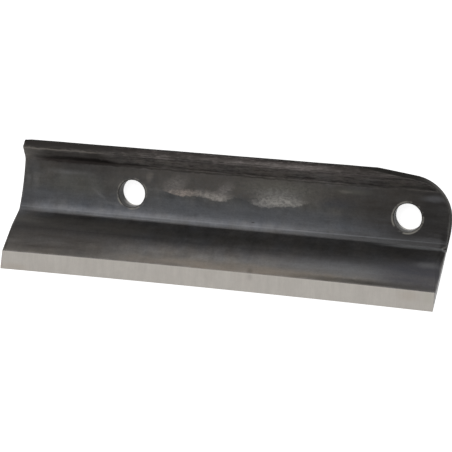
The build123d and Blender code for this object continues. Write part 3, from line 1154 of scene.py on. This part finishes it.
def bare_grind():
    """Bright ground steel."""
    material = bpy.data.materials.new("bare_grind")
    tree, shader, space = start_finish(material)
    plain = attribute(tree, "unrolled", "Vector")
    ragged = ragged_place(tree, plain, reach=1.0, size=6.0)
    lines = streaks(tree, plain, along=0.5, across=14.0, detail=2.0)
    bands = streaks(tree, ragged, along=5.0, across=30.0, detail=4.0)
    cloud = speckle(tree, space, size=0.02, detail=4.0)
    grit = speckle(tree, space, size=0.003, detail=4.0)
    colour = mix_colour(tree, cloud, GRIND_DARK, GRIND_LIGHT)
    colour = varied(tree, colour, (lines, 0.96, 1.035), (bands, 0.95, 1.05), (grit, 0.97, 1.03))
    colour = lay_stains_and_painted_light(tree, ragged, cloud, colour, GRIND_MARKS)
    worn = times(tree, worn_edges(tree, cloud, reach=0.5), GRIND_WEAR)
    colour = mix_colour(tree, worn, colour, GRIND_WORN)
    end_finish(tree, shader, colour, metallic=1.0, roughness=between(tree, bands, 0.34, 0.42),
               relief=lines, strength=0.15, depth=0.00005)
    return material


# %% [markdown]
# ## The cut edges
# The top edge and the rounded corner were cut before hardening, and their scale is rougher and
# nearly without gloss. Where such a face is seen at a low angle, a glossy metal would mirror the
# floor, so this finish is a dark, rough and dull one, with a painted highlight low down towards
# the rounded corner. The walls of the holes are drilled smooth. They are dark too, apart from a
# painted reflection low on the side towards the blade, where the wall is made bright metal.

# %% Cut edges
SCALE_DARK, SCALE_LIGHT = (0.018, 0.0165, 0.0155), (0.042, 0.039, 0.036)
SCALE_WORN, SCALE_WEAR = (0.16, 0.15, 0.14), 0.1
# The colour of the painted highlight low down towards the rounded corner
CORNER_HIGHLIGHT = (0.17, 0.163, 0.155)
CORNER_LIGHT_FROM, CORNER_LIGHT_TO = 118.0, 134.0
CORNER_LIGHT_LOW, CORNER_LIGHT_HIGH = 5.0, 10.0


def cut_edge():
    """Dark rough scale on cut faces, with a painted highlight low down towards the rounded corner."""
    material = bpy.data.materials.new("cut_edge")
    tree, shader, space = start_finish(material)
    along = part_of(tree, attribute(tree, "unrolled", "Vector"), "X")
    cloud = speckle(tree, space, size=0.007, detail=5.0)
    grain = speckle(tree, space, size=0.0015, detail=3.0)
    colour = mix_colour(tree, cloud, SCALE_DARK, SCALE_LIGHT)
    # A painted highlight low down towards the rounded corner
    low = between(tree, part_of(tree, space, "Z"), 1.0, 0.3, CORNER_LIGHT_LOW * MM, CORNER_LIGHT_HIGH * MM)
    corner_highlight = times(tree, between(tree, along, 0.0, 1.0, CORNER_LIGHT_FROM, CORNER_LIGHT_TO), low)
    corner_highlight = times(tree, corner_highlight, between(tree, grain, 0.6, 1.0))
    colour = mix_colour(tree, corner_highlight, colour, CORNER_HIGHLIGHT)
    worn = times(tree, worn_edges(tree, cloud, reach=0.6), SCALE_WEAR)
    colour = mix_colour(tree, worn, colour, SCALE_WORN)
    end_finish(tree, shader, colour, metallic=0.0, roughness=between(tree, cloud, 0.7, 0.85),
               relief=grain, strength=0.5, depth=0.0002, specular=0.0)
    return material


# The last colour is the bright metal of a painted reflection low on the blade's side of each hole
WALL_DARK, WALL_LIGHT, WALL_REFLECTION = (0.02, 0.0185, 0.017), (0.045, 0.042, 0.039), (0.6, 0.58, 0.54)
BARE_WALL_LOW, BARE_WALL_HIGH = 2.4, 8.0
BARE_WALL_FROM, BARE_WALL_TO = 10.6, 6.0


def bored_wall():
    """Drilled steel in the bolt holes, dark above, and bright metal towards the back on the blade's side as a
    painted reflection.
    """
    material = bpy.data.materials.new("bored_wall")
    tree, shader, space = start_finish(material)
    cloud = speckle(tree, space, size=0.009, detail=4.0)
    grain = speckle(tree, space, size=0.0015, detail=3.0)
    # A painted reflection: low down on the blade's side the wall turns bright metal
    low = between(tree, part_of(tree, space, "Z"), 1.0, 0.0, BARE_WALL_LOW * MM, BARE_WALL_HIGH * MM)
    side = between(tree, part_of(tree, space, "Y"), 1.0, 0.0, -BARE_WALL_FROM * MM, -BARE_WALL_TO * MM)
    bare = times(tree, low, side)
    colour = mix_colour(tree, cloud, WALL_DARK, WALL_LIGHT)
    colour = mix_colour(tree, times(tree, bare, between(tree, cloud, 0.5, 1.0)), colour, WALL_REFLECTION)
    end_finish(tree, shader, colour, metallic=bare, roughness=between(tree, grain, 0.4, 0.55),
               relief=grain, strength=0.3, depth=0.0001, specular=0.15)
    return material


# %% Finishes on the faces
SKIN, GRIND, CUT, BORED = range(4)
# How nearly a face looks along the bevel's normal, or up, and how far past a border it still counts
GRIND_FACING, WALL_FACING = 0.97, 0.35
GRIND_SPARE, CREASE_SPARE, RIM_SPARE = 1.5, 3.0, 1.0


def finish_of(face):
    """The finish of one face of the knife, from where it is and where it looks."""
    at = face.center / MM
    if face.normal.dot(Vector((0, sin(radians(BEVEL_ANGLE)), cos(radians(BEVEL_ANGLE))))) > GRIND_FACING:
        if at.z > corner["heel"].y - 2 * BEVEL_HOLLOW - GRIND_SPARE:
            return GRIND
    if abs(face.normal.z) < WALL_FACING and at.y > CREASE_Y - CREASE_SPARE:
        for x in HOLE_XS:
            if Vector((at.x - x, at.y)).length < HOLE_RADIUS + HOLE_CHAMFER + RIM_SPARE:
                return BORED
        return CUT
    return SKIN


def set_finishes(mesh):
    """Gives each face its finish and prints how many faces each has."""
    mesh.materials.clear()
    for material in (dark_skin(skin_material), bare_grind(), cut_edge(), bored_wall()):
        mesh.materials.append(material)
    for face in mesh.polygons:
        face.material_index = finish_of(face)
    for index, material in enumerate(mesh.materials):
        print(material.name, sum(face.material_index == index for face in mesh.polygons), "faces")


set_finishes(knife.data)
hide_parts("chopper_knife")
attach(knife, "root")
knife.name = "chopper_knife_steel"

# %% [markdown]
# ## Floor and light
# The knife lies on a white floor. To the camera and in reflections the floor glows a little, so
# that it reads white without more light on the knife, and it still takes the knife's shadow. The
# light is a pale world and large soft panels. Each panel is placed by its angle from straight up,
# because each face of the section reflects another part of the room.

# %% Floor
FLOOR_SIDE = 12.0
FLOOR_GLOW = 0.78
FLOOR_DROP = 0.25


def add_floor():
    """A large white floor just under the waves of the knife's back."""
    half = FLOOR_SIDE / 2
    mesh = bpy.data.meshes.new("floor")
    corners = [(-half, -half, 0), (half, -half, 0), (half, half, 0), (-half, half, 0)]
    mesh.from_pydata(corners, [], [(0, 1, 2, 3)])
    floor = bpy.data.objects.new("floor", mesh)
    floor.location.z = -FLOOR_DROP * MM
    bpy.context.scene.collection.objects.link(floor)
    material = bpy.data.materials.new("white_floor")
    material.use_nodes = True
    tree = material.node_tree
    path = add_node(tree, "ShaderNodeLightPath").outputs
    seen = maths(tree, "MAXIMUM", path["Is Camera Ray"], path["Is Glossy Ray"])
    seen = maths(tree, "MAXIMUM", seen, path["Is Transmission Ray"])
    feed(tree, tree.nodes["Principled BSDF"],
         {"Base Color": (0.8, 0.8, 0.8, 1), "Roughness": 0.9, "Specular IOR Level": 0.0,
          "Emission Color": (1, 1, 1, 1), "Emission Strength": times(tree, seen, FLOOR_GLOW)})
    mesh.materials.append(material)
    return floor


floor = add_floor()

# %% Light
WORLD_LEVEL = 0.42
PANEL_DISTANCE = 1.8
PANEL_LENGTH = 2.6


def add_panel(name, angle, half_angle, level, shift=-0.25):
    """A long soft panel over the knife, at an angle from straight up towards the lip's side."""
    height = 2 * PANEL_DISTANCE * tan(radians(half_angle))
    data = bpy.data.lights.new(name, "AREA")
    data.shape = "RECTANGLE"
    data.size = PANEL_LENGTH
    data.size_y = height
    data.energy = level * pi * PANEL_LENGTH * height
    panel = bpy.data.objects.new(name, data)
    bpy.context.scene.collection.objects.link(panel)
    out = Vector((0, sin(radians(angle)), cos(radians(angle))))
    side = Vector((1, 0, 0))
    turn = Matrix((side, out.cross(side), out)).transposed().to_4x4()
    panel.matrix_world = Matrix.Translation(out * PANEL_DISTANCE + side * shift * PANEL_DISTANCE) @ turn
    return panel


world = bpy.data.worlds.new("studio")
bpy.context.scene.world = world
world.use_nodes = True
world.node_tree.nodes["Background"].inputs["Color"].default_value = (1, 1, 1, 1)
world.node_tree.nodes["Background"].inputs["Strength"].default_value = WORLD_LEVEL
add_panel("overhead", angle=-8, half_angle=20, level=0.2)
add_panel("key", angle=34, half_angle=12, level=1.3)
add_panel("low", angle=66, half_angle=11, level=1.1)
add_panel("back", angle=-60, half_angle=14, level=1.0)
bpy.context.scene.view_settings.view_transform = "Standard"
